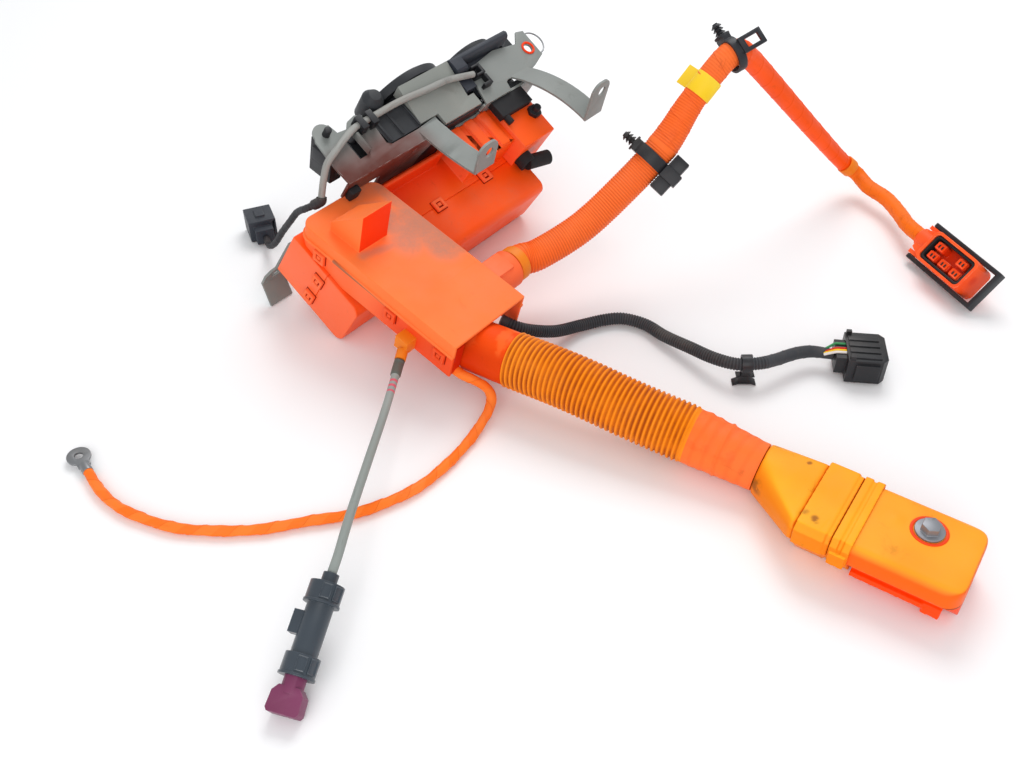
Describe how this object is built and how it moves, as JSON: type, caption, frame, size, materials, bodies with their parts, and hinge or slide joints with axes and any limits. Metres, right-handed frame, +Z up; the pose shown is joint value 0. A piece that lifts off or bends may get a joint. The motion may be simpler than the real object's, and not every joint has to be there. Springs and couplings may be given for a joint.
{
  "type": "ev charging socket",
  "caption": "Grey steel bracket carrying a DC and an AC vehicle charging inlet, orange two-shell housing and cable duct behind, corrugated conduits, lead connectors, ground wire and release pull.",
  "frame": {"origin": "Centre of the base rectangle of the inlet head and duct, on the ground they lie on; the loose harness is not counted.", "axes": "+X along the bracket from the DC to the AC inlet, +Y away from the loose connectors, +Z up."},
  "size_m": [0.7226, 0.6673, 0.2018],
  "materials": {
    "bracket_steel": "satin",
    "zinc_steel": "satin",
    "contact_brass": "satin",
    "black_plastic": "matte",
    "slate_plastic": "matte",
    "grey_plastic": "matte",
    "black_rubber": "matte",
    "orange_plastic": "matte",
    "amber_plastic": "matte",
    "maroon_plastic": "matte",
    "grey_sheath": "matte",
    "yellow_tag": "matte"
  },
  "bodies": {
    "base": {"front_plate": "bracket_steel", "left_bracket": "bracket_steel", "right_bracket": "bracket_steel", "foot_bracket": "bracket_steel", "dc_inlet_shell": "black_plastic", "dc_contact_block": "black_plastic", "dc_pins": "contact_brass", "ac_inlet_shell": "black_plastic", "ac_contact_block": "black_plastic", "ac_pins": "contact_brass", "inlet_screws": "zinc_steel", "hinge_pins": "zinc_steel", "lock_actuator": "slate_plastic", "inlet_hood": "grey_plastic", "hinge_surround": "black_plastic", "rubber_mount": "black_rubber", "rubber_buffer": "black_rubber", "wire_loop": "zinc_steel", "cable_holder": "black_plastic", "cable_clips": "black_plastic", "box_connector": "black_plastic", "front_shell": "orange_plastic", "rear_cover": "orange_plastic", "ac_rear_housing": "orange_plastic", "duct_tray": "orange_plastic", "duct_cover": "orange_plastic", "snap_clips": "orange_plastic", "outlet_nozzle": "orange_plastic", "drain_nozzle": "black_rubber", "housing_studs": "black_plastic", "release_clip": "amber_plastic", "release_cable": "grey_sheath", "release_housing": "black_plastic", "dc_collar": "orange_plastic", "dc_conduit": "amber_plastic", "dc_boot": "amber_plastic", "dc_clamp_sleeve": "amber_plastic", "dc_strap": "amber_plastic", "dc_connector_body": "amber_plastic", "ac_conduit": "orange_plastic", "ac_bands": "amber_plastic", "fir_clips": "black_plastic", "ac_tag": "yellow_tag", "ac_connector_body": "orange_plastic", "ac_connector_seal": "black_rubber", "signal_conduit": "black_plastic", "signal_clip": "black_plastic", "signal_connector": "black_plastic", "ground_wire": "orange_plastic", "ring_terminal": "zinc_steel", "inlet_lead": "grey_sheath", "lead_tail": "black_plastic", "lead_connector": "black_plastic"},
    "dc_cap_body": {"dc_cap": "black_plastic"},
    "ac_cap_body": {"ac_cap": "black_plastic"},
    "lock_pin_body": {"lock_pin": "zinc_steel"},
    "pull_body": {"pull_toggle": "maroon_plastic"},
    "lever_body": {"ac_lever": "black_plastic"},
    "bolt_body": {"dc_bolt": "zinc_steel"}
  },
  "joints": [
    {"name": "dc_cap_hinge", "type": "hinge", "parent": "base", "child": "dc_cap_body", "pos_m": [-0.035, 0.08615, 0.1105], "axis": [0, -0.5373, 0.8434], "range_deg": [0, 110]},
    {"name": "ac_cap_hinge", "type": "hinge", "parent": "base", "child": "ac_cap_body", "pos_m": [0.14, 0.08784, 0.11157], "axis": [0, 0.5373, -0.8434], "range_deg": [0, 110]},
    {"name": "release_pull", "type": "slide", "parent": "base", "child": "pull_body", "axis": [-0.8509, -0.3682, -0.3746], "range_m": [0, 0.02]},
    {"name": "lock_pin_slide", "type": "slide", "parent": "base", "child": "lock_pin_body", "axis": [0, -0.5373, 0.8434], "range_m": [0, 0.006]},
    {"name": "lever_hinge", "type": "hinge", "parent": "base", "child": "lever_body", "pos_m": [0.25523, -0.30287, 0.0185], "axis": [-0.6087, 0.3075, -0.7314], "range_deg": [0, 75]},
    {"name": "dc_bolt_spin", "type": "hinge", "parent": "base", "child": "bolt_body", "pos_m": [-0.06302, -0.44481, 0.038], "axis": [0, 0, 1], "continuous": true}
  ],
  "couplings": [
    {"joint": "lock_pin_slide", "follows": "release_pull", "ratio": 0.3}
  ]
}
